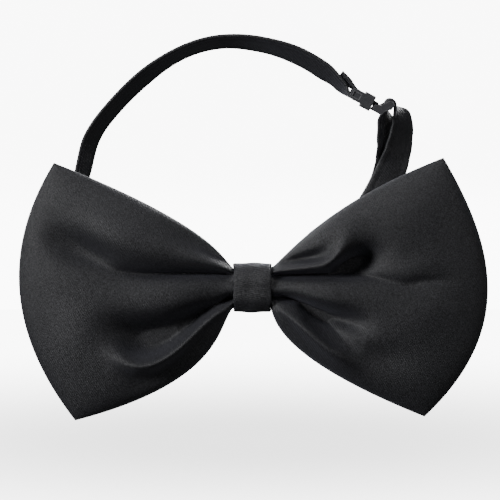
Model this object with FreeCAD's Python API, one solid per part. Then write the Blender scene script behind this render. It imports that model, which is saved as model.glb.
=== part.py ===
"""Ready-tied satin bow tie on a narrow, adjustable neck band with a small plastic snap buckle.

Millimetres. The bow's front faces -Y, +X is to the viewer's right, +Z is up, and the origin is the
middle of the flat back of the knot, where the tie rests against a collar.
"""
import FreeCAD, Part
import math, os
from FreeCAD import Vector

# ---- knot --------------------------------------------------------------------------------------
KNOT_WIDTH = 9.5          # along X
KNOT_HEIGHT = 12.3        # along Z
KNOT_DEPTH = 12.0         # along Y, back face at 0
WRAP_THICK = 0.6          # satin strip round the waist
LINING_THICK = 0.4        # stiffening strip under it
FRONT_RADIUS = 4.6        # roundness of the knot's front, in side section
BACK_RADIUS = 1.8
SEAM_HEIGHT = -2.6        # where the wrap's ends meet on the back
SEAM_GROOVE = 0.3         # how deep its stitches are sunk

# ---- wings: edges as (distance out, distance up or down) from the middle, knot end first ---------
LEFT_TOP = [(0, 4.2), (11.1, 3.2), (-4.3, 10.3), (51.0, 32.3)]
LEFT_BOTTOM = [(0, -4.2), (12.6, -1.6), (-2.9, -21.6), (45.7, -34.2)]
RIGHT_TOP = [(0, 4.2), (5.7, -0.3), (7.8, 17.5), (49.1, 33.6)]
RIGHT_BOTTOM = [(0, -4.2), (12.2, -0.4), (-10.4, -11.3), (44.4, -33.2)]
LEFT_BULGE, RIGHT_BULGE = 11.6, 13.9      # how far the outer edge curves out past its two corners
RIGHT_SKEW = 0.2                          # that curve is fuller below the middle
MIDDLE_Y = -6.6           # plane of the edge seam
RIM_HALF = 0.2            # half the filling's thickness at the seam
SATIN = 0.35              # panel thickness
WAIST_HALF = 3.4          # half depth of the gathered waist
FRONT_PUFF, BACK_PUFF = 7.6, 5.4
UPPER_FOLD, LOWER_FOLD = 0.22, -0.46      # height of the two long folds, -1 bottom edge to 1 top edge
FOLD_DEPTH, FOLD_HALF = 0.34, 0.16        # share of the puff, share of the half height

# ---- neck band ---------------------------------------------------------------------------------
BAND_WIDTH, BAND_THICK = 8.0, 0.9
BAND_Y = -1.6             # where it passes through the knot
LOOP_Y = 4.5              # plane of the neck loop and of the buckle

# ---- buckle: u runs along it from socket to plug, v across it, both in the X-Z plane -------------
BUCKLE_AT = Vector(30.1, LOOP_Y, 47.8)
BUCKLE_TILT = -28.0
COLLAR_U, COLLAR_V, COLLAR_HALF_Y = (-1.5, 1.2), (-2.2, 2.0), 4.9
COLLAR_WALL = 0.5
SIDE_PLATE = 0.75         # thickness of the socket's and plug's side plates
SOCKET_BAR_U, BAR_RADIUS = -3.6, 0.6
PLUG_BAR = (5.4, 2.0)
TONGUE_HALF_Y, TONGUE_V = 1.4, (-0.35, 0.55)
CATCH_U, CATCH_TOP = (-0.8, 0.2), 1.9

# ---- slider ------------------------------------------------------------------------------------
SLIDER_AT = Vector(21.3, 3.7, 11.4)      # centre of its middle bar
SLIDER_TILT = math.degrees(math.atan2(3, 4))   # the strap climbs at this angle behind the right wing
SLIDER_LENGTH, SLIDER_WIDTH, SLIDER_THICK = 9.6, 11.4, 0.9
SLIDER_BAR = 1.1


def export(name, shape):
    shape.exportStep("parts/%s.step" % name)


def bezier(points, t):
    a, b, c, d = ((1 - t) ** 3, 3 * (1 - t) ** 2 * t, 3 * (1 - t) * t * t, t ** 3)
    return [a * p + b * q + c * r + d * s for p, q, r, s in zip(*points)]


def edge_height(points, out):
    """Height of a wing's edge at a distance out from the middle."""
    low, high = 0.0, 1.0
    for _ in range(40):
        mid = (low + high) / 2
        if bezier(points, mid)[0] < out:
            low = mid
        else:
            high = mid
    return bezier(points, low)[1]


def smooth(low, high, value):
    t = min(max((value - low) / (high - low), 0.0), 1.0)
    return t * t * (3 - 2 * t)


# ---- wings -------------------------------------------------------------------------------------
def wing_point(side, f, v):
    """X and Z of a point on a wing: f runs 0 at the knot to 1 at the outer edge, v from -1 to 1."""
    top, bottom = (RIGHT_TOP, RIGHT_BOTTOM) if side > 0 else (LEFT_TOP, LEFT_BOTTOM)
    bulge, skew = (RIGHT_BULGE, RIGHT_SKEW) if side > 0 else (LEFT_BULGE, 0.0)
    high, low = f * top[3][0], f * bottom[3][0]
    share = (v + 1) / 2
    x = low + (high - low) * share + f ** 3 * bulge * (1 - v * v) * (1 - skew * v)
    z_low, z_high = edge_height(bottom, low), edge_height(top, high)
    return side * x, z_low + (z_high - z_low) * share


def puff(f, v, full, folded):
    """How far a panel stands off the seam plane."""
    open_ = smooth(0.04, 0.42, f)
    depth = open_ * full * math.sqrt(max(1 - f ** 4, 0)) + (1 - open_) * WAIST_HALF * (1 - f ** 4)
    if folded:
        fade = smooth(0.05, 0.16, f) * (1 - smooth(0.3, 0.75, f))
        for fold in (UPPER_FOLD, LOWER_FOLD):
            depth *= 1 - FOLD_DEPTH * fade * math.exp(-((v - fold) / FOLD_HALF) ** 2)
    return depth * math.sqrt(max(1 - v * v, 0))


OUT_STEPS = [0, 0.045, 0.095, 0.16, 0.24, 0.33, 0.43, 0.53, 0.63, 0.73, 0.82, 0.9, 0.96, 1]
ACROSS_STEPS = [math.sin(math.pi / 2 * k / 8) for k in range(-8, 9)]


def bow_surface(full, direction, offset, folded):
    """One smooth face over both wings and the waist; direction -1 is the front, 1 the back."""
    columns = [(-1, f) for f in reversed(OUT_STEPS[1:])] + [(1, f) for f in OUT_STEPS]
    poles = []
    for side, f in columns:
        column = []
        for v in ACROSS_STEPS:
            x, z = wing_point(side, f, v)
            column.append(Vector(x, MIDDLE_Y + direction * (offset + puff(f, v, full, folded)), z))
        poles.append(column)

    def knots(count):
        return [4] + [1] * (count - 4) + [4], [float(i) for i in range(count - 2)]

    (mu, ku), (mv, kv) = knots(len(poles)), knots(len(poles[0]))
    surface = Part.BSplineSurface()
    surface.buildFromPolesMultsKnots(poles, mu, mv, ku, kv, False, False, 3, 3)
    return surface.toShape()


def make_panels():
    front_skin = bow_surface(FRONT_PUFF, -1, RIM_HALF, True)
    back_skin = bow_surface(BACK_PUFF, 1, RIM_HALF, False)
    front = front_skin.extrude(Vector(0, -SATIN, 0))
    back = back_skin.extrude(Vector(0, SATIN, 0))
    rim = [edge.extrude(Vector(0, 2 * RIM_HALF, 0)) for edge in front_skin.Edges]
    shell = Part.Shell([front_skin.Faces[0], back_skin.Faces[0]] + [r.Faces[0] for r in rim])
    shell.sewShape()
    filling = Part.Solid(shell)
    if filling.Volume < 0:
        filling.reverse()
    return front, back, filling


def oval(half_z, half_y, x0, x1):
    ring = Part.Ellipse(Vector(0, 0, 0), half_z, half_y)
    face = Part.Face(Part.Wire(ring.toShape()))
    face.rotate(Vector(0, 0, 0), Vector(0, 1, 0), 90)
    face.translate(Vector(x0, MIDDLE_Y, 0))
    return face.extrude(Vector(x1 - x0, 0, 0))


def make_gather_thread():
    turns = []
    for k in range(4):
        x = -0.9 + 0.45 * k
        turns.append(oval(4.95, 4.3, x, x + 0.45).cut(oval(4.5, 4.03, x, x + 0.45)))
    return turns[0].multiFuse(turns[1:]).removeSplitter()


# ---- knot --------------------------------------------------------------------------------------
def knot_section(inset, length):
    """Side section of the knot, flat at the back and round at the front, drawn out along X."""
    z, y0, y1 = KNOT_HEIGHT / 2 - inset, -KNOT_DEPTH + inset, -inset
    rf, rb = FRONT_RADIUS - inset, max(BACK_RADIUS - inset, 0.4)
    h = math.sqrt(0.5)

    def p(y, zz):
        return Vector(-length / 2, y, zz)

    edges = [
        Part.makeLine(p(y1, -z + rb), p(y1, z - rb)),
        Part.Arc(p(y1, z - rb), p(y1 - rb + rb * h, z - rb + rb * h), p(y1 - rb, z)).toShape(),
        Part.makeLine(p(y1 - rb, z), p(y0 + rf, z)),
        Part.Arc(p(y0 + rf, z), p(y0 + rf - rf * h, z - rf + rf * h), p(y0, z - rf)).toShape(),
        Part.makeLine(p(y0, z - rf), p(y0, -z + rf)),
        Part.Arc(p(y0, -z + rf), p(y0 + rf - rf * h, -z + rf - rf * h), p(y0 + rf, -z)).toShape(),
        Part.makeLine(p(y0 + rf, -z), p(y1 - rb, -z)),
        Part.Arc(p(y1 - rb, -z), p(y1 - rb + rb * h, -z + rb - rb * h), p(y1, -z + rb)).toShape(),
    ]
    return Part.Face(Part.Wire(edges)).extrude(Vector(length, 0, 0))


def make_knot():
    wrap = knot_section(0, KNOT_WIDTH)
    wrap = wrap.makeFillet(0.25, [e for e in wrap.Edges if e.BoundBox.XLength < 0.01])
    wrap = wrap.cut(knot_section(WRAP_THICK, KNOT_WIDTH + 2))
    groove = Part.makeBox(KNOT_WIDTH - 1.6, SEAM_GROOVE, 0.7,
                          Vector(-(KNOT_WIDTH - 1.6) / 2, -SEAM_GROOVE, SEAM_HEIGHT - 0.35))
    lining = knot_section(WRAP_THICK, KNOT_WIDTH - 1.0).cut(
        knot_section(WRAP_THICK + LINING_THICK, KNOT_WIDTH + 2))
    stitches = []
    for k in range(5):
        x = -3.3 + 1.65 * k
        stitches.append(Part.makeBox(1.0, 0.16, 0.26, Vector(x - 0.5, -SEAM_GROOVE, SEAM_HEIGHT - 0.13)))
    seam = Part.makeBox(7.4, 0.06, 0.16, Vector(-3.7, -SEAM_GROOVE, SEAM_HEIGHT - 0.08))
    return wrap.cut(groove), lining, seam.multiFuse(stitches).removeSplitter()


# ---- band and strap ----------------------------------------------------------------------------
FACE_STATIONS = 8         # stations to each face along a band


def spline(points):
    curve = Part.BSplineCurve()
    curve.interpolate([Vector(*p) for p in points])
    return curve


class Run:
    """A length of flat band: a centre line and the way its width points.

    Every way point is (x, y, z, turn), and a turn is the angle between the band's width and Y: at 0 the
    band stands on edge to the viewer, at 90 it lies flat against the back of the bow. The turn changes
    sign where the band doubles back. A fifth value is the heading to use where the band folds over.
    """

    def __init__(self, way, step):
        self.curve = spline([w[:3] for w in way])
        keys = [self.curve.parameter(Vector(*w[:3])) for w in way]
        widths = []
        for key, w in zip(keys, way):
            heading = w[4] if len(w) > 4 else self.curve.tangent(key)[0]
            outward = heading.cross(Vector(0, 1, 0)).normalize()
            turn = math.radians(w[3])
            widths.append(Vector(0, -math.cos(turn), 0) - outward * math.sin(turn))
        count = int(self.curve.length() / step)
        self.at = []
        for i in range(count + 1):
            t = self.curve.parameterAtDistance(min(self.curve.length() * i / count,
                                                   self.curve.length() - 1e-6))
            k = min(max(j for j in range(len(keys)) if keys[j] <= t + 1e-9), len(keys) - 2)
            share = smooth(keys[k], keys[k + 1], t)
            along = self.curve.tangent(t)[0]
            wide = widths[k] * (1 - share) + widths[k + 1] * share
            wide = (wide - along * wide.dot(along)).normalize()
            self.at.append((self.curve.value(t), wide.cross(along), wide))

    def near(self, point):
        """The station closest to a point."""
        return min(range(len(self.at)), key=lambda i: (self.at[i][0] - Vector(*point)).Length)

    def solid(self, first=0, last=None, half=BAND_WIDTH / 2, low=-BAND_THICK / 2, high=BAND_THICK / 2):
        """The band between two of its stations, or a pad that lies on it."""
        stations = self.at[first:last]
        corners = [(low, -half), (high, -half), (high, half), (low, half)]
        rows = [[p + n * a + w * b for p, n, w in stations] for a, b in corners]
        steps = [0.0]
        for (p, _, _), (q, _, _) in zip(stations, stations[1:]):
            steps.append(steps[-1] + (q - p).Length)
        sides = []
        for row in rows:
            curve = Part.BSplineCurve()
            curve.interpolate(Points=row, Parameters=steps)
            sides.append(curve)
        faces = []
        marks = steps[:-1:FACE_STATIONS] + [steps[-1]]
        for start, stop in zip(marks, marks[1:]):
            edges = []
            for curve in sides:
                part = curve.copy()
                part.segment(start, stop)
                edges.append(part.toShape())
            faces += [Part.makeRuledSurface(edges[i], edges[(i + 1) % 4], 1) for i in range(4)]
        for end in (0, -1):
            ring = [row[end] for row in rows]
            faces.append(Part.Face(Part.makePolygon(ring + [ring[0]])))
        shell = Part.Shell(faces)
        shell.sewShape()
        body = Part.Solid(shell)
        if body.Volume < 0:
            body.reverse()
        return body


def buckle_point(u, v, y=0.0):
    c, s = math.cos(math.radians(BUCKLE_TILT)), math.sin(math.radians(BUCKLE_TILT))
    return BUCKLE_AT + Vector(u * c - v * s, y, u * s + v * c)


def around_bar(bar_u, bar_v, radius, start, stop, count):
    """Way points of a fold round a bar, by angle in the buckle's own plane."""
    way = []
    for i in range(count):
        a = math.radians(start + (stop - start) * i / (count - 1))
        p = buckle_point(bar_u + radius * math.cos(a), bar_v + radius * math.sin(a))
        way.append((p.x, p.y, p.z, 0))
    return way


FOLD_RADIUS = BAR_RADIUS + 0.08 + BAND_THICK / 2


def neck_band_run():
    """From the knot, out behind the left wing, over the top and round the socket's bar."""
    way = [(-0.3, BAND_Y, 0, 90), (-1.2, BAND_Y, 0, 90), (-2.6, BAND_Y, 0, 90),
           (-4.6, BAND_Y + 0.05, 0.25, 90), (-7.0, -1.2, 1.1, 90), (-9.6, -0.2, 2.4, 90),
           (-12.5, 1.0, 4.0, 88), (-18.5, 2.7, 7.4, 76), (-27, 4.0, 11.6, 52),
           (-35.5, 4.4, 15.4, 26), (-42.4, LOOP_Y, 20.4, 2), (-44.5, LOOP_Y, 26.0, -14)]
    way += [(x, LOOP_Y, z, turn) for x, z, turn in [
        (-43.7, 31.0, -17), (-42.2, 37.0, -18), (-36.8, 45.3, -20), (-29.0, 53.2, -20), (-18.7, 60.2, -16),
        (-8.4, 63.2, -16), (1.9, 62.6, -17), (12.2, 59.4, -22), (18.2, 55.9, -28), (22.6, 52.2, -20)]]
    way += around_bar(SOCKET_BAR_U, 0, FOLD_RADIUS, -96, 96, 9)
    way += [(25.3, LOOP_Y, 52.25, 8), (23.9, LOOP_Y, 53.25, 16), (22.4, LOOP_Y, 54.25, 24)]
    return Run(way, 0.9)


def by_slider(along, deep):
    """A way point near the slider: along the strap from its middle bar, and deep behind it."""
    c, s = math.cos(math.radians(SLIDER_TILT)), math.sin(math.radians(SLIDER_TILT))
    return SLIDER_AT.x + along * c, SLIDER_AT.y + deep, SLIDER_AT.z + along * s, -90, Vector(c, 0, s)


def strap_run():
    """From its sewn end on the slider's middle bar, up round the plug's bar, and back to the knot."""
    way = [by_slider(*p) for p in [(9.0, 3.3), (5.0, 3.2), (2.6, 2.95), (1.1, 2.45), (0.0, 1.75),
                                   (-0.8, 1.0)]]
    way += [by_slider(FOLD_RADIUS * math.cos(math.radians(a)), -FOLD_RADIUS * math.sin(math.radians(a)))
            for a in (192, 150, 110, 70, 30, -12)]
    way += [by_slider(*p) for p in [(2.5, 1.6), (4.6, 2.12), (8.0, 2.2)]]
    way += [(32.4, 6.3, 22.4, -90), (35.1, 6.4, 28.2, -86), (35.7, 6.1, 33.0, -66),
            (35.2, 5.1, 38.0, -42), (34.7, LOOP_Y, 42.3, -20)]
    way += around_bar(PLUG_BAR[0], PLUG_BAR[1], FOLD_RADIUS, 208, 28, 9)
    way += [(38.7, LOOP_Y, 43.6, 30), (38.8, LOOP_Y, 39.6, 46), (37.9, LOOP_Y, 35.0, 62),
            (36.1, 4.6, 29.8, 82), (33.2, 4.75, 23.6, 90)]
    for along, deep in [(8.0, 1.15), (5.0, 1.1), (3.25, 0.8), (1.95, -0.85), (0.0, -2.2), (-1.95, -0.85),
                        (-3.25, 0.8), (-5.0, 1.1)]:
        x, y, z, turn, heading = by_slider(along, deep)
        way.append((x, y, z, 90, heading * -1))
    way += [(13.0, 3.2, 5.3, 90), (9.8, 0.9, 3.2, 90), (7.2, -0.9, 1.7, 90), (4.6, BAND_Y + 0.05, 0.5, 90),
            (2.6, BAND_Y, 0, 90), (1.2, BAND_Y, 0, 90), (0.3, BAND_Y, 0, 90)]
    return Run(way, 0.4)


# ---- buckle and slider -------------------------------------------------------------------------
def block(u, v, y):
    """A box given by its low and high limits along the buckle, across it and through it."""
    return Part.makeBox(u[1] - u[0], y[1] - y[0], v[1] - v[0], Vector(u[0], y[0], v[0]))


def both_sides(low, high, make):
    """The same feature at +Y and -Y."""
    return [make((low, high)), make((-high, -low))]


def plate(outline, y):
    """A flat plate with an outline of (u, v) corners."""
    corners = [Vector(u, y[0], v) for u, v in outline]
    return Part.Face(Part.makePolygon(corners + corners[:1])).extrude(Vector(0, y[1] - y[0], 0))


def bar_at(u, v, half):
    return Part.makeCylinder(BAR_RADIUS, 2 * half, Vector(u, -half, v), Vector(0, 1, 0))


def place_buckle(shape):
    shape.rotate(Vector(0, 0, 0), Vector(0, 1, 0), -BUCKLE_TILT)
    shape.translate(BUCKLE_AT)
    return shape


def rounded(shape, radius, direction):
    """Rounds the long straight edges that run one way."""
    straight = [e for e in shape.Edges if e.Curve.TypeId == "Part::GeomLine"]
    edges = [e for e in straight if abs(e.tangentAt(e.FirstParameter).dot(direction)) > 0.99]
    return shape.makeFillet(radius, edges)


def make_socket():
    """Collar that takes the plug, two side plates behind it and the bar the band is folded round."""
    inner = COLLAR_HALF_Y - SIDE_PLATE
    collar = rounded(block(COLLAR_U, COLLAR_V, (-COLLAR_HALF_Y, COLLAR_HALF_Y)), 0.7, Vector(1, 0, 0))
    collar = collar.makeFillet(0.2, [e for e in collar.Edges if e.BoundBox.XMin > COLLAR_U[1] - 0.01])
    mouth = block((COLLAR_U[0] + COLLAR_WALL, COLLAR_U[1] + 1),
                  (COLLAR_V[0] + COLLAR_WALL, COLLAR_V[1] - COLLAR_WALL), (-inner, inner))
    latch_hole = block((-0.95, 0.35), (COLLAR_V[1] - 1, COLLAR_V[1] + 1), (-1.6, 1.6))
    outline = [(COLLAR_U[0] + 0.3, -1.5), (-4.6, -1.5), (-5.2, -0.9), (-5.2, 0.9), (-4.6, 1.5),
               (COLLAR_U[0] + 0.3, 1.5)]
    plates = both_sides(inner, COLLAR_HALF_Y, lambda y: plate(outline, y))
    windows = both_sides(COLLAR_HALF_Y - 0.3, COLLAR_HALF_Y + 1,
                         lambda y: block((-4.6, -2.5), (-0.75, 0.75), y))
    body = collar.multiFuse(plates + [bar_at(SOCKET_BAR_U, 0, inner + 0.3)])
    return place_buckle(body.cut(mouth).cut(latch_hole).cut(windows[0]).cut(windows[1]).removeSplitter())


def make_plug():
    """Guide plate that enters the collar, cross block, side arms and the strap's bar."""
    inner = COLLAR_HALF_Y - SIDE_PLATE + 0.05
    guide = block((-0.8, 4.4), (-1.58, -1.0), (-3.9, 3.9))
    cross = block((2.9, 3.9), (-1.58, 0.6), (-COLLAR_HALF_Y, COLLAR_HALF_Y))
    outline = [(1.7, -1.58), (4.4, -1.58), (4.9, -0.1), (6.2, 0.9), (6.35, 2.3), (5.6, 2.95), (4.6, 2.6),
               (3.2, 0.6), (1.7, 0.1)]
    arms = both_sides(inner, COLLAR_HALF_Y, lambda y: plate(outline, y))
    stops = both_sides(3.6, inner + 0.1, lambda y: block((1.7, 3.2), (-1.58, -1.0), y))
    body = guide.multiFuse([cross, bar_at(*PLUG_BAR, inner + 0.3)] + arms + stops)
    return place_buckle(body.removeSplitter())


def make_tongue():
    """Springy tongue with a press pad and the catch that clicks into the collar."""
    outline = [(2.75, TONGUE_V[0]), (2.75, TONGUE_V[1]), (2.5, 0.95), (1.5, 0.95), (1.25, TONGUE_V[1]),
               (0.25, TONGUE_V[1]), (CATCH_U[1], CATCH_TOP), (-0.3, CATCH_TOP), (CATCH_U[0], 0.9),
               (CATCH_U[0], TONGUE_V[0])]
    return place_buckle(plate(outline, (-TONGUE_HALF_Y, TONGUE_HALF_Y)))


def make_slider():
    """Flat frame with two slots and a round middle bar."""
    length, width = SLIDER_LENGTH / 2, SLIDER_WIDTH / 2
    slot_y = BAND_WIDTH / 2 + 0.25

    def slab(x, z, thick):
        return Part.makeBox(2 * x, thick, 2 * z, Vector(-x, -thick / 2, -z))

    frame = rounded(slab(length, width, SLIDER_THICK), 1.2, Vector(0, 1, 0))
    frame = frame.cut(slab(length - SLIDER_BAR, slot_y, SLIDER_THICK + 1))
    middle = Part.makeCylinder(BAR_RADIUS, 2 * slot_y + 0.6, Vector(0, 0, -slot_y - 0.3), Vector(0, 0, 1))
    frame = frame.fuse(middle).removeSplitter()
    frame.rotate(Vector(0, 0, 0), Vector(0, 1, 0), -SLIDER_TILT)
    frame.translate(SLIDER_AT)
    return frame


def main():
    os.makedirs("parts", exist_ok=True)
    front, back, filling = make_panels()
    wrap, lining, seam = make_knot()
    export("front_panel", front)
    export("back_panel", back)
    export("wing_filling", filling)
    export("gather_thread", make_gather_thread())
    export("knot_wrap", wrap)
    export("knot_lining", lining)
    export("knot_seam_stitches", seam)

    surface = BAND_THICK / 2
    band, strap = neck_band_run(), strap_run()
    export("neck_band", band.solid())
    end = len(band.at)
    export("loop_bartack", band.solid(end - 5, end - 1, 3.2, -surface - 0.22, -surface))
    export("adjuster_strap", strap.solid())
    export("slider_bartack", strap.solid(4, 9, 3.2, -surface - 0.22, -surface))

    export("buckle_socket", make_socket())
    export("buckle_plug", make_plug())
    export("buckle_tongue", make_tongue())
    export("strap_slider", make_slider())


main()
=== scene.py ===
"""Looks of the ready-tied bow tie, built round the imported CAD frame."""
import math
from typing import NamedTuple

import bpy
import numpy as np
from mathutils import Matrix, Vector


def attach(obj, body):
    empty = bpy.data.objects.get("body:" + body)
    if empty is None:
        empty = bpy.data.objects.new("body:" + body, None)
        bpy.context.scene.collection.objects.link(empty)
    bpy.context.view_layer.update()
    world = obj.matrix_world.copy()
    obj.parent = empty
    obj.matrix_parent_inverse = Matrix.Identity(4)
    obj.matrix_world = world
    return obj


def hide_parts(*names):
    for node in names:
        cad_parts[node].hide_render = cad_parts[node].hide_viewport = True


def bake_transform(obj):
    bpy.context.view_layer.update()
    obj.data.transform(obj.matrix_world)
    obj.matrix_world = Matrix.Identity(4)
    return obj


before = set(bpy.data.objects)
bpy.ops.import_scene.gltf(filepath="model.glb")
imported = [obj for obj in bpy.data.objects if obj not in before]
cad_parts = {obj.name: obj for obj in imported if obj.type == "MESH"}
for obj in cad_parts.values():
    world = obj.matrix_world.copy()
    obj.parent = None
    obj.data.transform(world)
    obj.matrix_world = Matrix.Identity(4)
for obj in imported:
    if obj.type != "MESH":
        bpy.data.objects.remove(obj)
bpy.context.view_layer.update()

MM = 0.001

# ---- wing outline, in millimetres: (distance out, height) control points, knot end first ---------
EDGES = {
    (-1, 1): [(0, 4.2), (11.1, 3.2), (-4.3, 10.3), (51.0, 32.3)],
    (-1, -1): [(0, -4.2), (12.6, -1.6), (-2.9, -21.6), (45.7, -34.2)],
    (1, 1): [(0, 4.2), (5.7, -0.3), (7.8, 17.5), (49.1, 33.6)],
    (1, -1): [(0, -4.2), (12.2, -0.4), (-10.4, -11.3), (44.4, -33.2)],
}
BULGE = {-1: (11.6, 0.0), 1: (13.9, 0.2)}
SEAM_Y = -6.6
RIM = 0.5
WAIST_DEPTH, FRONT_DEPTH, BACK_DEPTH = 3.9, 6.9, 5.0
FOLD_GAIN = 1.4
LEAST_DEPTH = 0.25
ROOT_PI = 1.772

# ---- knot, in millimetres ----------------------------------------------------------------------
KNOT_HALF_WIDTH = 4.75
KNOT_EDGE_RADIUS = 0.32

# ---- neck band ---------------------------------------------------------------------------------
BAND_WIDTH, BAND_THICK = 8.0, 0.9
BAND_Y, LOOP_Y = -1.6, 4.5
BUCKLE_AT, BUCKLE_TILT = np.array([30.1, 4.5, 47.8]), math.radians(-28)
SLIDER_AT, SLIDER_ALONG = np.array([21.3, 3.7, 11.4]), np.array([0.8, 0, 0.6])
BAR_RADIUS = 0.6
FOLD_RADIUS = BAR_RADIUS + 0.08 + BAND_THICK / 2


def smooth(low, high, value):
    t = np.clip((value - low) / (high - low), 0, 1)
    return t * t * (3 - 2 * t)


# ---- materials ---------------------------------------------------------------------------------
def new_material(name):
    m = bpy.data.materials.new(name)
    m.use_nodes = True
    tree = m.node_tree
    tree.nodes.clear()
    out = tree.nodes.new("ShaderNodeOutputMaterial")
    shader = tree.nodes.new("ShaderNodeBsdfPrincipled")
    tree.links.new(shader.outputs[0], out.inputs[0])
    return m, tree, shader


def add(tree, kind, inputs=None, **settings):
    node = tree.nodes.new(kind)
    for key, value in settings.items():
        setattr(node, key, value)
    for key, value in (inputs or {}).items():
        if isinstance(value, bpy.types.NodeSocket):
            tree.links.new(value, node.inputs[key])
        else:
            node.inputs[key].default_value = value
    return node


def satin(name, dark, light, rough, sheen, grain_angle):
    """Satin: a fine diagonal twill, small slubs, and a broad soft gloss."""
    m, tree, shader = new_material(name)
    place = add(tree, "ShaderNodeTexCoord").outputs["Object"]
    turned = add(tree, "ShaderNodeMapping", {"Vector": place, "Rotation": (0, grain_angle, 0),
                                             "Scale": (1000, 1000, 1000)}).outputs[0]
    ribs = add(tree, "ShaderNodeTexWave", {"Vector": turned, "Scale": 0.62, "Distortion": 0.7, "Detail": 2.0,
                                           "Detail Scale": 2.2}, wave_type="BANDS",
               bands_direction="X").outputs["Fac"]
    threads = add(tree, "ShaderNodeTexWave", {"Vector": turned, "Scale": 1.15, "Distortion": 1.2,
                                              "Detail": 1.0, "Detail Scale": 3.0}, wave_type="BANDS",
                  bands_direction="Z").outputs["Fac"]
    slub = add(tree, "ShaderNodeTexNoise", {"Vector": turned, "Scale": 1.6, "Detail": 5.0,
                                            "Roughness": 0.65}).outputs["Fac"]
    cloud = add(tree, "ShaderNodeTexNoise", {"Vector": turned, "Scale": 0.09, "Detail": 2.0}).outputs["Fac"]
    weave = add(tree, "ShaderNodeMath", {0: ribs, 1: threads}, operation="MULTIPLY").outputs[0]
    speckle = add(tree, "ShaderNodeTexNoise", {"Vector": turned, "Scale": 2.6, "Detail": 2.0,
                                               "Roughness": 0.7}).outputs["Fac"]
    mixed = add(tree, "ShaderNodeMath", {0: weave, 1: slub}, operation="ADD").outputs[0]
    tone = add(tree, "ShaderNodeMapRange", {"Value": speckle, "From Min": 0.32, "From Max": 0.68,
                                            "To Min": 0.0, "To Max": 1.0}).outputs[0]
    tree.links.new(add(tree, "ShaderNodeMapRange", {"Value": speckle, "From Min": 0.3, "From Max": 0.7,
                                                    "To Min": 0.3, "To Max": 0.62}).outputs[0],
                   shader.inputs["Specular IOR Level"])
    colour = add(tree, "ShaderNodeMix", {"Factor": tone, "A": dark, "B": light}, data_type="RGBA")
    tree.links.new(colour.outputs["Result"], shader.inputs["Base Color"])
    gloss = add(tree, "ShaderNodeMapRange", {"Value": cloud, "From Min": 0.3, "From Max": 0.7,
                                             "To Min": rough - 0.03, "To Max": rough + 0.04}).outputs[0]
    tree.links.new(gloss, shader.inputs["Roughness"])
    bump = add(tree, "ShaderNodeBump", {"Height": mixed, "Strength": 0.55, "Distance": 0.00014})
    tree.links.new(bump.outputs[0], shader.inputs["Normal"])
    shader.inputs["Sheen Weight"].default_value = sheen
    shader.inputs["Sheen Roughness"].default_value = 0.45
    shader.inputs["Sheen Tint"].default_value = (0.72, 0.74, 0.9, 1)
    return m


def plastic(name):
    """Moulded black plastic with a fine grain and a painted highlight: its edges are coloured paler."""
    m, tree, shader = new_material(name)
    place = add(tree, "ShaderNodeTexCoord").outputs["Object"]
    fine = add(tree, "ShaderNodeTexNoise", {"Vector": place, "Scale": 2600.0, "Detail": 3.0}).outputs["Fac"]
    broad = add(tree, "ShaderNodeTexNoise", {"Vector": place, "Scale": 500.0, "Detail": 2.0}).outputs["Fac"]
    rough = add(tree, "ShaderNodeMapRange", {"Value": broad, "From Min": 0.3, "From Max": 0.7,
                                             "To Min": 0.2, "To Max": 0.34}).outputs[0]
    tree.links.new(rough, shader.inputs["Roughness"])
    both = add(tree, "ShaderNodeMath", {0: fine, 1: broad}, operation="ADD").outputs[0]
    bump = add(tree, "ShaderNodeBump", {"Height": both, "Strength": 0.35, "Distance": 0.0003})
    tree.links.new(bump.outputs[0], shader.inputs["Normal"])
    # painted highlight: near edges, where the Bevel normal turns away from the flat normal, the base colour
    # goes paler
    rounded = add(tree, "ShaderNodeBevel", {"Radius": 0.00035}, samples=6).outputs[0]
    flat = add(tree, "ShaderNodeNewGeometry").outputs["Normal"]
    turned = add(tree, "ShaderNodeVectorMath", {0: rounded, 1: flat},
                 operation="DOT_PRODUCT").outputs["Value"]
    painted_edge_highlight = add(tree, "ShaderNodeMapRange", {"Value": turned, "From Min": 0.995,
                                              "From Max": 0.75}).outputs[0]
    tint = add(tree, "ShaderNodeMix", {"Factor": painted_edge_highlight, "A": (0.045, 0.045, 0.05, 1),
                                       "B": (0.2, 0.2, 0.21, 1)}, data_type="RGBA")
    tree.links.new(tint.outputs["Result"], shader.inputs["Base Color"])
    shader.inputs["Specular IOR Level"].default_value = 0.6
    return m


def plain_cloth(name, colour, scale):
    m, tree, shader = new_material(name)
    place = add(tree, "ShaderNodeTexCoord").outputs["Object"]
    fibres = add(tree, "ShaderNodeTexNoise", {"Vector": place, "Scale": scale, "Detail": 6.0}).outputs["Fac"]
    dark = tuple(c * 0.6 for c in colour[:3]) + (1,)
    tint = add(tree, "ShaderNodeMix", {"Factor": fibres, "A": dark, "B": colour}, data_type="RGBA")
    tree.links.new(tint.outputs["Result"], shader.inputs["Base Color"])
    bump = add(tree, "ShaderNodeBump", {"Height": fibres, "Strength": 0.4, "Distance": 0.0001})
    tree.links.new(bump.outputs[0], shader.inputs["Normal"])
    shader.inputs["Roughness"].default_value = 0.85
    return m


BOW = satin("bow satin", (0.0024, 0.0024, 0.003, 1), (0.0125, 0.0128, 0.0165, 1), 0.6, 0.12, math.radians(32))
KNOT = satin("knot satin", (0.0024, 0.0024, 0.003, 1), (0.0125, 0.0128, 0.0165, 1), 0.58, 0.12,
             math.radians(80))
# painted light: the band satin is the bow satin coloured lighter, standing in for the light falling on the
# band
BAND = satin("band satin", (0.0034, 0.0034, 0.0041, 1), (0.0155, 0.0158, 0.0195, 1), 0.54, 0.13,
             math.radians(40))
PLASTIC = plastic("black plastic")
THREAD = plain_cloth("black thread", (0.012, 0.012, 0.014, 1), 3000)
LINING = plain_cloth("dark interfacing", (0.03, 0.03, 0.033, 1), 1800)


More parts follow.
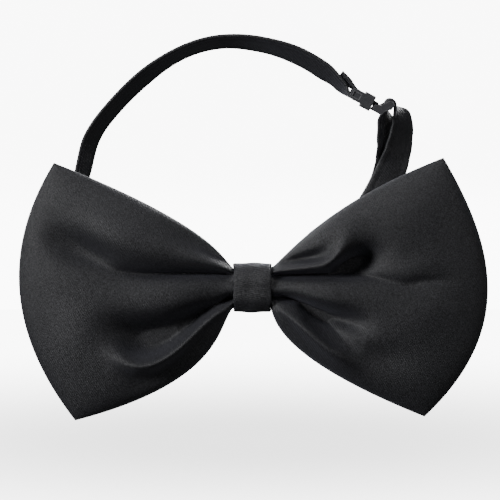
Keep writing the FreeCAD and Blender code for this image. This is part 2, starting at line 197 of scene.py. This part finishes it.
# ---- meshes ------------------------------------------------------------------------------------
def mesh_object(name, points, faces, material):
    """A piece from points in millimetres."""
    mesh = bpy.data.meshes.new(name)
    mesh.from_pydata((np.asarray(points) * MM).tolist(), [], faces)
    mesh.validate()
    mesh.shade_smooth()
    obj = bpy.data.objects.new(name, mesh)
    bpy.context.scene.collection.objects.link(obj)
    mesh.materials.append(material)
    return obj


def grid_faces(rows, columns, wrap_rows=False, wrap_columns=False, start=0):
    faces = []
    for i in range(rows if wrap_rows else rows - 1):
        for j in range(columns if wrap_columns else columns - 1):
            a, b = i, (i + 1) % rows
            c, d = j, (j + 1) % columns
            faces.append([start + a * columns + c, start + b * columns + c,
                          start + b * columns + d, start + a * columns + d])
    return faces


def edge_curve(points):
    """(distance out, height) along one edge of a wing, finely sampled."""
    t = np.linspace(0, 1, 600)[:, None]
    p = np.array(points, float)
    return ((1 - t) ** 3 * p[0] + 3 * (1 - t) ** 2 * t * p[1] + 3 * (1 - t) * t * t * p[2] + t ** 3 * p[3])


def wing_xz(side, f, v):
    """X and Z in the wing for arrays f (0 at the knot, 1 at the outer edge) and v (-1 to 1)."""
    top, bottom = edge_curve(EDGES[(side, 1)]), edge_curve(EDGES[(side, -1)])
    bulge, skew = BULGE[side]
    high, low = f * top[-1, 0], f * bottom[-1, 0]
    share = (v + 1) / 2
    x = low + (high - low) * share + f ** 3 * bulge * (1 - v * v) * (1 - skew * v)
    z_low, z_high = np.interp(low, bottom[:, 0], bottom[:, 1]), np.interp(high, top[:, 0], top[:, 1])
    return side * x, z_low + (z_high - z_low) * share


def line_depth(x, z, fold):
    """How far a fold raises or lowers the cloth at each x, z."""
    line = rounded_path(fold.path)
    lengths = np.hypot(*(line[1:] - line[:-1]).T)
    share = np.concatenate([[0], np.cumsum(lengths)]) / lengths.sum()
    if not fold.sharp:
        # overlapping round spots make a fold that is smooth everywhere, ends too
        weight = np.zeros_like(share)
        weight[:-1] += lengths / 2
        weight[1:] += lengths / 2
        total = np.zeros_like(x)
        for (spot_x, spot_z), u, w in zip(line, share, weight):
            wide, deep = level(u, fold.width), level(u, fold.depth)
            off = (x - spot_x) ** 2 + (z - spot_z) ** 2
            total += deep * w / (wide * ROOT_PI) * np.exp(-off / wide ** 2)
        return total
    best, at = np.full(x.shape, 1e9), np.zeros(x.shape)
    for (p, q), length, u, step in zip(zip(line[:-1], line[1:]), lengths, share, np.diff(share)):
        d = (q - p) / length
        t = np.clip((x - p[0]) * d[0] + (z - p[1]) * d[1], 0, length)
        gap = np.hypot(x - p[0] - t * d[0], z - p[1] - t * d[1])
        nearer = gap < best
        best, at = np.where(nearer, gap, best), np.where(nearer, u + step * t / length, at)
    wide = level(at, fold.width)
    rounding = 0.05 + 0.45 * at ** 2
    return level(at, fold.depth) * np.exp(-(np.sqrt(best ** 2 + rounding ** 2) - rounding) / wide)


def rounded_path(path, steps=14):
    """A smooth line through the points, for folds."""
    path = np.array(path, float)
    ends = np.vstack([2 * path[0] - path[1], path, 2 * path[-1] - path[-2]])
    out = []
    for i in range(1, len(ends) - 2):
        p0, p1, p2, p3 = ends[i - 1:i + 3]
        for k in range(steps):
            t = k / steps
            out.append(0.5 * (2 * p1 + (p2 - p0) * t + (2 * p0 - 5 * p1 + 4 * p2 - p3) * t * t
                              + (3 * p1 - p0 - 3 * p2 + p3) * t ** 3))
    return np.array(out + [path[-1]])


def level(share, values):
    """A value given at even steps along a fold."""
    return np.interp(share, np.linspace(0, 1, len(values)), values)


class Fold(NamedTuple):
    """A fold: its line in x and z, and its depths (down is negative) and half widths along the line."""
    path: list
    depth: list
    width: list
    sharp: bool = False


FOLDS = {
    -1: [
        # long crease from the knot, softening toward the outer edge
        Fold([(-3, 3.5), (-12, 3.9), (-22, 4), (-31, 4.2), (-37, 5.6), (-43, 8.4), (-49, 10.5)],
             [-2, -3.4, -3.7, -3, -2.1, -0.9, 0],
             [0.6, 0.9, 1.3, 2, 3.2, 4.4, 5], sharp=True),
        # dimple at its far end
        Fold([(-36, 7), (-42, 9.2), (-47.5, 11.8), (-53, 15)],
             [-0.4, -2.2, -2.9, -1.1],
             [2.4, 3.4, 4.2, 4.8]),
        # puff above the crease
        Fold([(-20, 8.6), (-28, 11.2), (-35, 14.6), (-42, 19.5)],
             [0.4, 1.8, 2.1, 0.5],
             [3.5, 4.6, 5.4, 6.4]),
        # valley between the puff and the upper edge
        Fold([(-4, 5.4), (-8, 8), (-13, 11.4), (-20, 16), (-26, 19.5)],
             [-1, -1.8, -2.1, -1.5, 0],
             [0.9, 1.5, 2.3, 3.2, 4]),
        # ridge below that valley
        Fold([(-5, 4.9), (-10, 6.6), (-15, 8.2), (-21, 9.6)],
             [0.6, 0.9, 0.7, 0.1],
             [0.8, 1.2, 1.8, 2.6]),
        # lower crease leaving the knot
        Fold([(-3, -2), (-7, -2.9), (-11, -5), (-15, -8), (-19, -11)],
             [-1.8, -2.6, -2.3, -1.3, 0],
             [0.6, 1.1, 1.7, 2.4, 3], sharp=True),
        # deep hollow beyond it
        Fold([(-11, -4.3), (-17, -8), (-24, -11.4), (-31, -12), (-37, -9)],
             [-0.8, -3.4, -5.2, -4.6, -1],
             [1.8, 3, 4.2, 4.8, 5.2]),
        # the hollow's lower side
        Fold([(-14, -7.6), (-18, -11.4), (-23, -14.8), (-28, -15.8), (-32, -14)],
             [-0.6, -1.7, -2.1, -1.7, -0.3],
             [1, 1.4, 1.8, 2, 2.4]),
        # roll that hooks round the hollow
        Fold([(-5, -4), (-9, -6), (-13, -9), (-17, -12.8), (-21, -16.2), (-25.5, -18.9), (-30, -19.4),
             (-34, -17.2), (-37, -13)],
             [0.6, 1.4, 2, 2.4, 2.7, 2.6, 2.3, 1.4, 0.1],
             [1, 1.3, 1.5, 1.7, 1.9, 2, 2.1, 2.6, 3.4]),
        # the cloth falls away below the roll
        Fold([(-12, -12.5), (-18, -18.5), (-25, -23.5), (-33, -25.5)],
             [-0.3, -0.9, -1.1, -0.6],
             [2, 2.8, 3.4, 4]),
        # belly of the outer edge
        Fold([(-43, -4), (-47, -12), (-47, -21)],
             [0.2, 0.8, 0.4],
             [6, 7, 7]),
    ],
    1: [
        # long crease from the knot
        Fold([(3, 3.4), (10, 3.5), (18, 3.8), (25, 3.9), (31, 3.2), (36, 2.2), (42, 0.6), (48, -0.8)],
             [-2.2, -3.6, -3.8, -3.2, -2, -1.1, -0.6, 0],
             [0.5, 0.9, 1.2, 1.6, 1.8, 1.8, 1.8, 1.8], sharp=True),
        # fine wrinkle past its end
        Fold([(39, 1.6), (43, 2.2), (48, 2.4), (53, 3.4)],
             [-0.2, -0.5, -0.4, 0],
             [0.9, 1.1, 1.3, 1.6]),
        # swell above the wrinkle
        Fold([(36, 4.6), (42, 5.6), (48, 7)],
             [0.1, 0.5, 0.1],
             [2, 2.6, 3]),
        # deep hollow above the crease
        Fold([(20.5, 5.2), (24.5, 6.2), (28, 7.4), (33, 9.4)],
             [-0.8, -5.4, -5.4, -0.8],
             [1.4, 2.3, 3.2, 4.4]),
        # ridge above the crease, turning up beside the hollow
        Fold([(5, 4.5), (10, 5.1), (15, 5.8), (19, 6.7), (22, 9.2), (24, 13), (26, 17)],
             [0.4, 1, 1.3, 1.6, 1.6, 1.1, 0.2],
             [0.7, 1, 1.3, 1.5, 1.7, 2.4, 3.6]),
        # small valley over the ridge
        Fold([(7.5, 6.8), (12, 7.7), (16, 8.5), (19.5, 9.8)],
             [-0.8, -1.8, -1.7, -0.3],
             [1, 1.3, 1.5, 1.8]),
        # puff above that
        Fold([(10, 10.4), (15, 13.2), (20, 16.4), (27, 21)],
             [0.2, 0.8, 0.9, 0.2],
             [2, 2.8, 3.6, 5]),
        # lower crease leaving the knot
        Fold([(3, -1.9), (8, -2.3), (12, -3.5), (16, -6.4), (20, -9.6), (24, -13), (28, -16)],
             [-2, -3.5, -3.8, -3.2, -2, -0.9, 0],
             [0.5, 0.9, 1.2, 1.5, 1.8, 2.2, 2.6], sharp=True),
        # hollow outside it
        Fold([(13, -4.2), (17, -6), (22, -7.8), (30, -9.4)],
             [-1.4, -4.2, -4, -0.6],
             [1.5, 2.4, 3, 4]),
        # second valley, beside the lower crease
        Fold([(13.5, -7.6), (18, -11.4), (22, -15)],
             [-0.4, -1.1, -0.3],
             [1, 1.4, 1.8]),
        # low ridge between them
        Fold([(18, -7.4), (24, -10.6), (30, -13)],
             [0.1, 0.8, 0.2],
             [1.4, 2, 2.8]),
        # shallow valley out to the edge
        Fold([(26, -15.5), (34, -17.5), (43, -18.5)],
             [-0.3, -1, -0.2],
             [3, 3.8, 5]),
        # lower roll
        Fold([(6.5, -4.8), (11, -8), (16, -12), (21, -16.2), (27, -20.4)],
             [0.4, 1.8, 2.6, 2.4, 0.4],
             [0.9, 1.5, 2.1, 2.4, 2.8]),
        # rolled rim of the lower edge
        Fold([(22, -23.2), (30, -27.2), (39, -31)],
             [0.4, 0.9, 0.5],
             [1, 1.1, 1.1]),
        # belly of the outer edge
        Fold([(38, -7), (46, -6), (53, -4)],
             [0.3, 0.8, 0.3],
             [5, 6, 6]),
        # belly of the upper corner
        Fold([(36, 15), (42, 20), (47, 25)],
             [0.2, 0.6, 0.2],
             [5, 6, 6]),
    ],
}


def envelope(side, f, v, full):
    """How far a panel stands off the seam plane before its folds."""
    grow = smooth(0.03, 0.45, f)
    height = (WAIST_DEPTH * (1 - grow) + full * grow) * np.sqrt(np.clip(1 - f ** 5, 0, 1))
    rim = np.clip(1 - np.abs(v) ** (3.0 + 3.0 * grow), 0, 1)
    return height * (0.82 * np.sqrt(rim) + 0.18 * np.clip(1 - v * v, 0, 1))


def front_depth(side, f, v, x, z):
    """How far the front panel stands off the seam, with its folds and the fine pleats by the knot."""
    depth = envelope(side, f, v, FRONT_DEPTH)
    fold = np.zeros_like(depth)
    for item in FOLDS[side]:
        fold += line_depth(x, z, item)
    edge = np.clip(1 - np.abs(v) ** 8, 0, 1) * np.clip(1 - f ** 14, 0, 1)
    pleats = 0.35 * np.cos(v * 8.5 + 0.6) * (1 - smooth(0.1, 0.25, f)) * edge
    return np.maximum(depth + FOLD_GAIN * fold * edge * smooth(0.05, 0.14, f) + pleats, LEAST_DEPTH)


def back_depth(side, f, v, x, z):
    """How far the back panel stands off the seam, gathered at the knot and gently uneven beyond."""
    depth = envelope(side, f, v, BACK_DEPTH)
    gather = 0.9 * np.cos(v * 11 + side) * (1 - smooth(0.08, 0.5, f)) * np.clip(1 - np.abs(v) ** 4, 0, 1)
    broad = 0.5 * np.sin(x * 0.16 + z * 0.11 * side) * smooth(0.3, 0.6, f) * np.clip(1 - np.abs(v) ** 3, 0, 1)
    return np.maximum(depth * 0.98 + gather + broad * np.sqrt(np.clip(1 - f ** 6, 0, 1)), LEAST_DEPTH)


def make_bow():
    """Both wings and the gathered waist as one cover, with the sewn seam at its rim."""
    out = np.concatenate([np.linspace(0, 0.3, 46)[:-1], np.linspace(0.3, 0.93, 74)[:-1],
                          1 - (1 - 0.93) * np.linspace(1, 0, 14) ** 1.6])
    across = np.sin(np.linspace(-math.pi / 2, math.pi / 2, 150)) * 0.35 + np.linspace(-1, 1, 150) * 0.65
    front, back = [], []
    for side, fs in ((-1, out[:0:-1]), (1, out)):
        f, v = np.meshgrid(fs, across, indexing="ij")
        x, z = wing_xz(side, f, v)
        front.append(np.stack([x, SEAM_Y - RIM - front_depth(side, f, v, x, z), z], 2))
        back.append(np.stack([x, SEAM_Y + RIM + back_depth(side, f, v, x, z), z], 2))
    front, back = np.concatenate(front), np.concatenate(back)
    rows, count = front.shape[:2]
    seam_top = np.stack([front[:, -1, 0], np.full(rows, SEAM_Y), front[:, -1, 2]], 1)
    seam_low = np.stack([front[:, 0, 0], np.full(rows, SEAM_Y), front[:, 0, 2]], 1)
    loops = np.concatenate([seam_low[:, None], front, seam_top[:, None], back[:, ::-1]], 1)
    size = loops.shape[1]
    points = loops.reshape(-1, 3)
    faces = grid_faces(rows, size, wrap_columns=True)
    caps = []
    for row, flip in ((0, False), (rows - 1, True)):
        base = row * size
        seam = list(range(count))
        extra = len(points) + len(caps)
        for j in seam:
            caps.append([front[row, j, 0], SEAM_Y, front[row, j, 2]])
        mid = [base] + [extra + j for j in range(count)] + [base + count + 1]
        f_line = [base] + [base + 1 + j for j in range(count)] + [base + count + 1]
        b_line = [base] + [base + size - 1 - j for j in range(count)] + [base + count + 1]
        for a, b in zip(range(len(mid) - 1), range(1, len(mid))):
            for line, turn in ((f_line, flip), (b_line, not flip)):
                quad = [line[a], line[b], mid[b], mid[a]]
                quad = list(dict.fromkeys(quad))
                if len(quad) > 2:
                    faces.append(quad if turn else quad[::-1])
    return mesh_object("bow_cover", np.vstack([points, np.array(caps)]), faces, BOW)


# ---- band --------------------------------------------------------------------------------------
def buckle_point(u, v):
    """A point u along the buckle and v across it."""
    c, s = math.cos(BUCKLE_TILT), math.sin(BUCKLE_TILT)
    return BUCKLE_AT + np.array([u * c - v * s, 0, u * s + v * c])


def around_bar(bar_u, bar_v, start, stop, count):
    """Way points that wrap the tape round one of the buckle's bars, between two angles."""
    way = []
    for a in np.radians(np.linspace(start, stop, count)):
        way.append((*buckle_point(bar_u + FOLD_RADIUS * math.cos(a), bar_v + FOLD_RADIUS * math.sin(a)), 0))
    return way


def by_slider(along, deep):
    """A way point beside the slider: along the strap from its middle, and behind it."""
    p = SLIDER_AT + along * SLIDER_ALONG + np.array([0, deep, 0])
    return (*p, -90, SLIDER_ALONG)


def neck_band_way():
    """The band's way points as (x, y, z, turn in degrees): from the knot, round the neck, to the buckle."""
    way = [(-0.3, BAND_Y, 0, 90), (-1.2, BAND_Y, 0, 90), (-2.6, BAND_Y, 0, 90),
           (-4.6, BAND_Y + 0.05, 0.25, 90), (-7.0, -1.2, 1.1, 90), (-9.6, -0.2, 2.4, 90),
           (-12.5, 1.0, 4.0, 88), (-18.5, 2.7, 7.4, 76), (-27, 4.0, 11.6, 52),
           (-35.5, 4.4, 15.4, 24), (-42.4, LOOP_Y, 20.4, -6), (-44.5, LOOP_Y, 26.0, -24)]
    way += [(x, LOOP_Y, z, turn) for x, z, turn in [
        (-43.7, 31.0, -28), (-42.2, 37.0, -29), (-36.8, 45.3, -28), (-29.0, 53.2, -29), (-18.7, 60.2, -24),
        (-8.4, 63.2, -25), (1.9, 62.6, -29), (12.2, 59.4, -34), (18.2, 55.9, -34), (22.6, 52.2, -21)]]
    way += around_bar(-3.6, 0, -96, 96, 9)
    way += [(25.3, LOOP_Y, 52.25, 8), (23.9, LOOP_Y, 53.25, 16), (22.4, LOOP_Y, 54.25, 24)]
    return way


def strap_way():
    """The strap's way points: wrapped end at the slider, up round the plug's bar, back to the knot."""
    way = [by_slider(*p) for p in [(9.0, 3.3), (5.0, 3.2), (2.6, 2.95), (1.1, 2.45), (0.0, 1.75),
                                   (-0.8, 1.0)]]
    way += [by_slider(FOLD_RADIUS * math.cos(math.radians(a)), -FOLD_RADIUS * math.sin(math.radians(a)))
            for a in (192, 150, 110, 70, 30, -12)]
    way += [by_slider(*p) for p in [(2.5, 1.6), (4.6, 2.12), (8.0, 2.2)]]
    way += [(32.4, 6.3, 22.4, -90), (35.1, 6.4, 28.2, -86), (35.7, 6.1, 33.0, -66),
            (35.2, 5.1, 38.0, -46), (34.7, LOOP_Y, 42.3, -34)]
    way += around_bar(5.4, 2.0, 208, 28, 9)
    way += [(38.7, LOOP_Y, 43.6, 40), (38.8, LOOP_Y, 39.6, 50), (37.9, LOOP_Y, 35.0, 62),
            (36.1, 4.6, 29.8, 82), (33.2, 4.75, 23.6, 90)]
    for along, deep in [(8.0, 1.15), (5.0, 1.1), (3.25, 0.8), (1.95, -0.85), (0.0, -2.2), (-1.95, -0.85),
                        (-3.25, 0.8), (-5.0, 1.1)]:
        x, y, z, turn, heading = by_slider(along, deep)
        way.append((x, y, z, 90, -heading))
    way += [(13.0, 3.2, 5.3, 90), (9.8, 0.9, 3.2, 90), (7.2, -0.9, 1.7, 90), (4.6, BAND_Y + 0.05, 0.5, 90),
            (2.6, BAND_Y, 0, 90), (1.2, BAND_Y, 0, 90), (0.3, BAND_Y, 0, 90)]
    return way


def cubic_line(points):
    """A natural cubic spline through the points: returns knots and a function of them."""
    p = np.array(points, float)
    t = np.concatenate([[0], np.cumsum(np.linalg.norm(p[1:] - p[:-1], axis=1))])
    n, h = len(t), np.diff(t)
    a = np.zeros((n, n))
    rhs = np.zeros((n, 3))
    a[0, 0] = a[-1, -1] = 1
    for i in range(1, n - 1):
        a[i, i - 1:i + 2] = h[i - 1], 2 * (h[i - 1] + h[i]), h[i]
        rhs[i] = 6 * ((p[i + 1] - p[i]) / h[i] - (p[i] - p[i - 1]) / h[i - 1])
    m = np.linalg.solve(a, rhs)

    def at(s, order=0):
        s = np.atleast_1d(s)
        k = np.clip(np.searchsorted(t, s, side="right") - 1, 0, n - 2)
        u, w, hk = (s - t[k])[:, None], (t[k + 1] - s)[:, None], h[k][:, None]
        low, high = p[k] / hk - m[k] * hk / 6, p[k + 1] / hk - m[k + 1] * hk / 6
        if order == 0:
            return m[k] * w ** 3 / (6 * hk) + m[k + 1] * u ** 3 / (6 * hk) + low * w + high * u
        return -m[k] * w ** 2 / (2 * hk) + m[k + 1] * u ** 2 / (2 * hk) - low + high

    return t, at


def unit(v):
    return v / np.linalg.norm(v, axis=-1, keepdims=True)


class Run:
    """A length of flat band, with its face and width directions along the way."""

    def __init__(self, way, step):
        keys, at = cubic_line([w[:3] for w in way])
        widths = []
        for key, w in zip(keys, way):
            heading = np.array(w[4]) if len(w) > 4 else at(key, 1)[0]
            outward = unit(np.cross(heading, [0, 1, 0]))
            turn = math.radians(w[3])
            widths.append(np.array([0, -math.cos(turn), 0]) - outward * math.sin(turn))
        widths = np.array(widths)
        s = np.linspace(0, keys[-1], int(keys[-1] / step) + 1)
        k = np.clip(np.searchsorted(keys, s, side="right") - 1, 0, len(keys) - 2)
        share = smooth(keys[k], keys[k + 1], s)[:, None]
        along = unit(at(s, 1))
        wide = widths[k] * (1 - share) + widths[k + 1] * share
        wide = unit(wide - along * (wide * along).sum(1, keepdims=True))
        self.s, self.middle, self.wide, self.face = s, at(s), wide, np.cross(wide, along)

    def strip(self, name, material, profile):
        """A closed band whose section is a ring of (across, height) points."""
        ring = np.array(profile)
        points = (self.middle[:, None] + self.wide[:, None] * ring[None, :, :1]
                  + self.face[:, None] * ring[None, :, 1:2])
        rows, size = points.shape[:2]
        faces = grid_faces(rows, size, wrap_columns=True)
        faces += [list(range(size))[::-1], list(range((rows - 1) * size, rows * size))]
        return mesh_object(name, points.reshape(-1, 3), faces, material)


def band_profile():
    """Flat folded tape: round folded edges and a faint ridge inside each edge."""
    half, thick = BAND_WIDTH / 2, BAND_THICK / 2
    top = []
    for w in np.linspace(-half + 0.4, half - 0.4, 23):
        ridge = 0.05 * math.exp(-((abs(w) - 3.0) / 0.35) ** 2) - 0.05 * math.exp(-((abs(w) - 2.3) / 0.4) ** 2)
        top.append((w, thick - 0.03 + ridge))
    right = [(half - 0.4 + 0.4 * math.cos(a), (thick - 0.03) * math.sin(a))
             for a in np.linspace(math.pi / 2, -math.pi / 2, 9)[1:-1]]
    low = [(w, -h) for w, h in top[::-1]]
    left = [(-w, h) for w, h in right[::-1]]
    return top + right + low + left


# ---- knot --------------------------------------------------------------------------------------
def knot_ring(inset, count):
    """Side section of the knot as (y, z): round at the front, flat at the back."""
    z, y0, y1 = 6.15 - inset, -12.0 + inset, -inset
    rf, rb = 4.6 - inset, max(1.8 - inset, 0.5)
    corners = [(y1 - rb, z - rb, rb, 0), (y0 + rf, z - rf, rf, 90), (y0 + rf, -z + rf, rf, 180),
               (y1 - rb, -z + rb, rb, 270)]
    line = []
    for y, zz, r, start in corners:
        for a in np.radians(np.linspace(start, start + 90, 16)):
            line.append((y + r * math.cos(a), zz + r * math.sin(a)))
    line = np.array(line + line[:1])
    steps = np.concatenate([[0], np.cumsum(np.linalg.norm(line[1:] - line[:-1], axis=1))])
    s = np.linspace(0, steps[-1], count + 1)[:-1]
    return np.stack([np.interp(s, steps, line[:, 0]), np.interp(s, steps, line[:, 1])], 1)


def make_knot():
    """The satin strip wrapped round the waist, slightly uneven, with rolled edges."""
    count = 160
    outer = knot_ring(0, count)
    centre = np.array([-6.0, 0.0])
    out = unit(outer - np.roll(outer, 1, 0))
    normal = np.stack([out[:, 1], -out[:, 0]], 1)
    flip = np.sign(((outer - centre) * normal).sum(1))[:, None]
    normal = normal * flip
    half, r = KNOT_HALF_WIDTH, KNOT_EDGE_RADIUS
    # across the strip: outside face, rolled edge, inside face, rolled edge
    profile = [(x, 0.0) for x in np.linspace(-half + r, half - r, 25)]
    profile += [(half - r + r * math.sin(a), -r + r * math.cos(a))
                for a in np.linspace(0, math.pi, 8)[1:-1]]
    profile += [(x, -2 * r) for x in np.linspace(half - r, -half + r, 9)]
    profile += [(-half + r - r * math.sin(a), -r - r * math.cos(a))
                for a in np.linspace(0, math.pi, 8)[1:-1]]
    profile = np.array(profile)
    angle = np.linspace(0, 2 * math.pi, count, endpoint=False)
    rows = []
    for i in range(count):
        back = smooth(-2.0, -0.3, outer[i, 0])
        wave = 0.16 * math.sin(3 * angle[i] + 0.7) + 0.09 * math.sin(7 * angle[i])
        x = profile[:, 0] * (1 + 0.012 * math.sin(5 * angle[i])) + wave * (profile[:, 0] / half)
        crown = (0.22 * (1 - (profile[:, 0] / half) ** 2) - 0.12) * (1 - back)
        crease = 0.07 * np.sin(profile[:, 0] * 1.1 + 2.2 * angle[i]) * (1 - back)
        h = profile[:, 1] + np.where(profile[:, 1] > -0.5, crown + crease, 0)
        h = h - 0.02 * (back > 0)
        yz = outer[i] + normal[i] * h[:, None]
        rows.append(np.stack([x, yz[:, 0], yz[:, 1]], 1))
    points = np.array(rows)
    return mesh_object("knot_satin", points.reshape(-1, 3),
                       grid_faces(count, len(profile), wrap_rows=True, wrap_columns=True), KNOT)


# ---- build -------------------------------------------------------------------------------------
bow = make_bow()
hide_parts("front_panel", "back_panel", "wing_filling")
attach(bow, "bow")

knot = make_knot()
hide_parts("knot_wrap")
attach(knot, "bow")

band = Run(neck_band_way(), 0.45).strip("neck_band_satin", BAND, band_profile())
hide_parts("neck_band")
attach(band, "bow")

strap = Run(strap_way(), 0.3).strip("strap_satin", BAND, band_profile())
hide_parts("adjuster_strap")
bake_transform(strap)

for node, material in {"buckle_socket": PLASTIC, "buckle_plug": PLASTIC, "buckle_tongue": PLASTIC,
                       "strap_slider": PLASTIC, "gather_thread": THREAD, "knot_seam_stitches": THREAD,
                       "loop_bartack": THREAD, "slider_bartack": THREAD, "knot_lining": LINING}.items():
    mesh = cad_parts[node].data
    mesh.materials.clear()
    mesh.materials.append(material)


# ---- studio ------------------------------------------------------------------------------------
def floor_sweep():
    """A round pale floor that curves up into a backdrop on every side."""
    line = [(0.0, 0.0), (0.4, 0.0), (1.2, 0.0), (2.4, 0.0)]
    line += [(2.4 + math.sin(a), 1 - math.cos(a)) for a in np.linspace(0.08, math.pi / 2, 20)]
    line += [(3.4, 3.5)]
    turns = np.linspace(0, 2 * math.pi, 97)[:-1]
    points = [(1000 * r * math.cos(t), 1000 * r * math.sin(t), 1000 * z - 40)
              for t in turns for r, z in line[1:]]
    size = len(line) - 1
    faces = grid_faces(len(turns), size, wrap_rows=True) + [[i * size for i in range(len(turns))]]
    m, tree, shader = new_material("pale paper")
    grain = add(tree, "ShaderNodeTexNoise", {"Scale": 40.0, "Detail": 3.0}).outputs["Fac"]
    tint = add(tree, "ShaderNodeMix", {"Factor": grain, "A": (0.9, 0.9, 0.9, 1), "B": (0.93, 0.93, 0.93, 1)},
               data_type="RGBA")
    tree.links.new(tint.outputs["Result"], shader.inputs["Base Color"])
    shader.inputs["Roughness"].default_value = 0.9
    shader.inputs["Emission Color"].default_value = (1, 1, 1, 1)
    # painted light and shade: the floor glows, dimmest round the object as a painted soft shadow pool and
    # brightest out at the backdrop
    level_place = add(tree, "ShaderNodeMapping", {"Vector": add(tree, "ShaderNodeTexCoord").outputs["Object"],
                                                  "Scale": (1, 1, 0)}).outputs[0]
    reach = add(tree, "ShaderNodeVectorMath", {0: level_place}, operation="LENGTH").outputs["Value"]
    glow_with_painted_shade = add(tree, "ShaderNodeMapRange", {"Value": reach, "From Min": 0.02, "From Max": 0.26, "To Min": 2.8,
                                            "To Max": 9.0}, interpolation_type="SMOOTHSTEP").outputs[0]
    tree.links.new(glow_with_painted_shade, shader.inputs["Emission Strength"])
    sweep = mesh_object("floor", points, faces, m)
    sweep.visible_glossy = False
    sweep.visible_diffuse = False
    return sweep


floor_sweep()


def area_light(name, place, target, size, power):
    data = bpy.data.lights.new(name, "AREA")
    data.shape = "RECTANGLE"
    data.size, data.size_y = size
    data.energy = power
    obj = bpy.data.objects.new(name, data)
    bpy.context.scene.collection.objects.link(obj)
    obj.location = place
    obj.rotation_euler = (Vector(target) - Vector(place)).to_track_quat("-Z", "Y").to_euler()


area_light("key", (-0.85, -0.55, 0.36), (0, 0, 0), (0.26, 0.26), 14)
area_light("top", (-0.05, -0.5, 0.85), (0, 0, 0), (0.3, 0.3), 2.2)
area_light("front", (0.85, -0.9, 0.15), (0, 0, 0.01), (0.4, 0.4), 2.4)
area_light("overhead", (0, 0.1, 1.2), (0, 0.1, 0), (0.5, 0.25), 4)
area_light("behind", (0.5, 1.0, 0.5), (0, 0, 0), (0.5, 0.5), 9)
area_light("behind left", (-0.7, 0.9, 0.4), (0, 0, 0), (0.5, 0.5), 6)

world = bpy.data.worlds.new("studio")
bpy.context.scene.world = world
world.use_nodes = True
world.node_tree.nodes["Background"].inputs["Color"].default_value = (1, 1, 1, 1)
world.node_tree.nodes["Background"].inputs["Strength"].default_value = 0.08

FRAME_WIDTH = 0.12875
DISTANCE, ELEVATION = 0.9, math.radians(4)
aim = Vector((-0.0006, -0.006, 0.0098))
camera_data = bpy.data.cameras.new("camera")
camera_data.sensor_width = 36
camera_data.lens = 36 * DISTANCE / FRAME_WIDTH
camera = bpy.data.objects.new("camera", camera_data)
bpy.context.scene.collection.objects.link(camera)
camera.location = aim + Vector((0, -math.cos(ELEVATION), math.sin(ELEVATION))) * DISTANCE
camera.rotation_euler = (aim - camera.location).to_track_quat("-Z", "Y").to_euler()
bpy.context.scene.camera = camera
